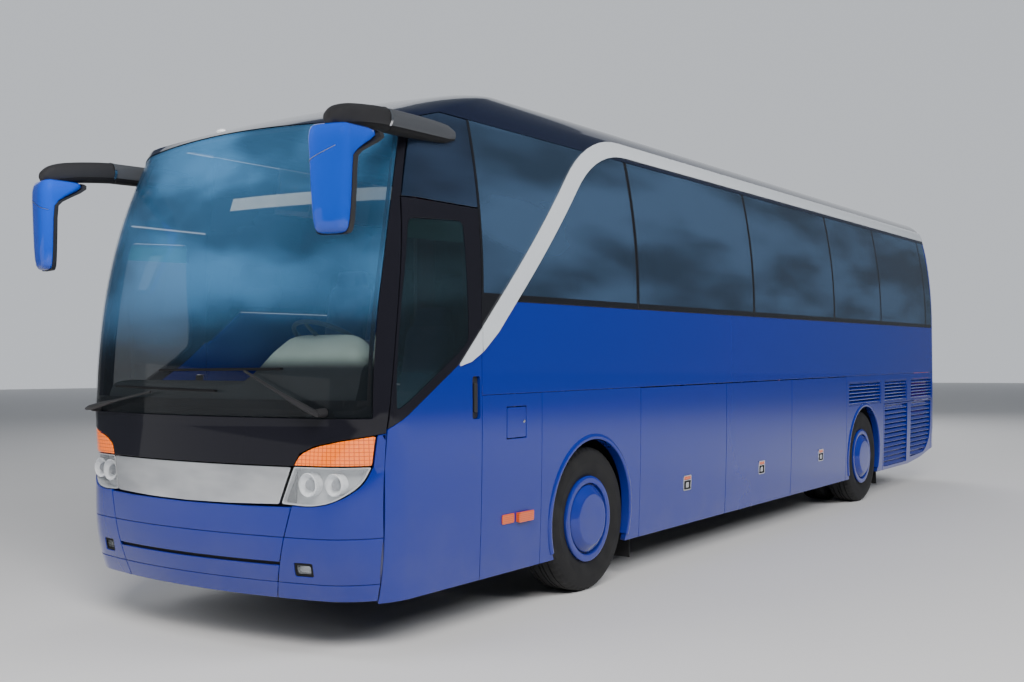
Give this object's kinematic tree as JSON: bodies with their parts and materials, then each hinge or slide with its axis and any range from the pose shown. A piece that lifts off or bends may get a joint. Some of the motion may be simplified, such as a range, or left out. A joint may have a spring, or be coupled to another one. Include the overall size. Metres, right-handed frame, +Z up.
{
  "type": "touring coach",
  "caption": "High-deck touring coach with a curved windscreen, ear mirrors, swooping side band, steered front wheels, hinged doors, luggage flaps and engine lid.",
  "frame": {"origin": "on the ground under the middle of the coach's box, mirrors included", "axes": "+Z up, the front faces -Y, the coach's left side is at +X"},
  "size_m": [2.7564, 12.01, 3.5456],
  "materials": {
    "painted_blue": "gloss",
    "painted_navy": "gloss",
    "painted_black": "gloss",
    "black_plastic": "matte",
    "brushed_panel": "brushed",
    "silver_trim": "satin",
    "clear_glass": "clear",
    "tinted_glass": "tinted",
    "lamp_glass": "clear",
    "amber_lens": "gloss",
    "red_lens": "gloss",
    "frame_metal": "satin",
    "cast_metal": "rough",
    "tyre": "matte",
    "cabin_trim": "matte",
    "seat_cloth": "matte",
    "mud_rubber": "matte",
    "curtain_cloth": "matte"
  },
  "bodies": {
    "coach": {"chassis": "frame_metal", "cabin_floor": "cabin_trim", "front_bumper": "painted_blue", "front_panel": "brushed_panel", "front_frame": "painted_black", "windscreen": "clear_glass", "headlamps": "lamp_glass", "amber_lamps": "amber_lens", "roof": "painted_navy", "side_wall_left": "painted_blue", "side_wall_right": "painted_blue", "tinted_glass": "tinted_glass", "side_trim": "silver_trim", "rear_panel": "painted_blue", "rear_grilles": "painted_blue", "tail_lamps": "red_lens", "engine": "cast_metal", "front_axle": "cast_metal", "rear_axle": "cast_metal", "mirror_shells": "painted_blue", "mirror_arms": "black_plastic", "wipers": "black_plastic", "dashboard": "black_plastic", "seats": "seat_cloth", "luggage_racks": "cabin_trim", "mud_flaps": "mud_rubber", "curtains": "curtain_cloth"},
    "steer_left": {"knuckle_left": "cast_metal"},
    "steer_right": {"knuckle_right": "cast_metal"},
    "wheel_front_left": {"tyre_front_left": "tyre", "rim_front_left": "painted_blue"},
    "wheel_front_right": {"tyre_front_right": "tyre", "rim_front_right": "painted_blue"},
    "wheel_rear_left": {"tyre_rear_left": "tyre", "rim_rear_left": "painted_blue"},
    "wheel_rear_right": {"tyre_rear_right": "tyre", "rim_rear_right": "painted_blue"},
    "driver_door": {"driver_door": "painted_blue", "driver_door_glass": "tinted_glass"},
    "front_door_arms": {"front_door_arms": "frame_metal"},
    "front_door": {"front_door": "painted_blue", "front_door_glass": "tinted_glass"},
    "mid_door_arms": {"mid_door_arms": "frame_metal"},
    "mid_door": {"mid_door": "painted_blue", "mid_door_glass": "tinted_glass"},
    "flap_left_1": {"flap_left_1": "painted_blue"},
    "flap_left_2": {"flap_left_2": "painted_blue"},
    "flap_left_3": {"flap_left_3": "painted_blue"},
    "flap_right_1": {"flap_right_1": "painted_blue"},
    "flap_right_2": {"flap_right_2": "painted_blue"},
    "radiator_door": {"radiator_door": "painted_blue"},
    "engine_lid": {"engine_lid": "painted_blue"},
    "fuel_flap": {"fuel_flap": "painted_blue"}
  },
  "joints": [
    {"name": "steering_left", "type": "hinge", "parent": "coach", "child": "steer_left", "pos_m": [0.9, -3.2375, 0.512], "axis": [0, 0, 1], "range_deg": [-42, 42]},
    {"name": "steering_right", "type": "hinge", "parent": "coach", "child": "steer_right", "pos_m": [-0.9, -3.2375, 0.512], "axis": [0, 0, 1], "range_deg": [-42, 42]},
    {"name": "spin_front_left", "type": "hinge", "parent": "steer_left", "child": "wheel_front_left", "pos_m": [1.092, -3.2375, 0.512], "axis": [1, 0, 0], "continuous": true},
    {"name": "spin_front_right", "type": "hinge", "parent": "steer_right", "child": "wheel_front_right", "pos_m": [-1.092, -3.2375, 0.512], "axis": [1, 0, 0], "continuous": true},
    {"name": "spin_rear_left", "type": "hinge", "parent": "coach", "child": "wheel_rear_left", "pos_m": [1.092, 2.8425, 0.512], "axis": [1, 0, 0], "continuous": true},
    {"name": "spin_rear_right", "type": "hinge", "parent": "coach", "child": "wheel_rear_right", "pos_m": [-1.092, 2.8425, 0.512], "axis": [1, 0, 0], "continuous": true},
    {"name": "driver_door_hinge", "type": "hinge", "parent": "coach", "child": "driver_door", "pos_m": [1.246, -5.4595, 0.9], "axis": [0, 0, -1], "range_deg": [0, 75]},
    {"name": "front_door_swing", "type": "hinge", "parent": "coach", "child": "front_door_arms", "pos_m": [-1.16, -5.3095, 0.6], "axis": [0, 0, 1], "range_deg": [0, 120]},
    {"name": "front_door_hang", "type": "hinge", "parent": "front_door_arms", "child": "front_door", "pos_m": [-1.13, -4.8595, 0.6], "axis": [0, 0, 1], "range_deg": [-120, 0]},
    {"name": "mid_door_swing", "type": "hinge", "parent": "coach", "child": "mid_door_arms", "pos_m": [-1.16, 2.0525, 0.6], "axis": [0, 0, -1], "range_deg": [0, 120]},
    {"name": "mid_door_hang", "type": "hinge", "parent": "mid_door_arms", "child": "mid_door", "pos_m": [-1.13, 1.6025, 0.6], "axis": [0, 0, -1], "range_deg": [-120, 0]},
    {"name": "flap_left_1_hinge", "type": "hinge", "parent": "coach", "child": "flap_left_1", "pos_m": [1.273, -1.7435, 1.431], "axis": [0, -1, 0], "range_deg": [0, 90]},
    {"name": "flap_left_2_hinge", "type": "hinge", "parent": "coach", "child": "flap_left_2", "pos_m": [1.273, -0.186, 1.431], "axis": [0, -1, 0], "range_deg": [0, 90]},
    {"name": "flap_left_3_hinge", "type": "hinge", "parent": "coach", "child": "flap_left_3", "pos_m": [1.273, 1.3985, 1.431], "axis": [0, -1, 0], "range_deg": [0, 90]},
    {"name": "flap_right_1_hinge", "type": "hinge", "parent": "coach", "child": "flap_right_1", "pos_m": [-1.273, -1.5855, 1.431], "axis": [0, 1, 0], "range_deg": [0, 90]},
    {"name": "flap_right_2_hinge", "type": "hinge", "parent": "coach", "child": "flap_right_2", "pos_m": [-1.273, 0.3045, 1.431], "axis": [0, 1, 0], "range_deg": [0, 90]},
    {"name": "radiator_door_hinge", "type": "hinge", "parent": "coach", "child": "radiator_door", "pos_m": [1.27018, 4.5625, 1.082], "axis": [0, -1, 0], "range_deg": [0, 90]},
    {"name": "engine_lid_hinge", "type": "hinge", "parent": "coach", "child": "engine_lid", "pos_m": [0, 6.0005, 1.76], "axis": [1, 0, 0], "range_deg": [0, 85]},
    {"name": "fuel_flap_hinge", "type": "hinge", "parent": "coach", "child": "fuel_flap", "pos_m": [1.27108, -4.3185, 1.223], "axis": [0, 0, -1], "range_deg": [0, 100]}
  ],
  "couplings": [
    {"joint": "steering_right", "follows": "steering_left", "ratio": 1},
    {"joint": "front_door_hang", "follows": "front_door_swing", "ratio": -1},
    {"joint": "mid_door_hang", "follows": "mid_door_swing", "ratio": -1}
  ]
}
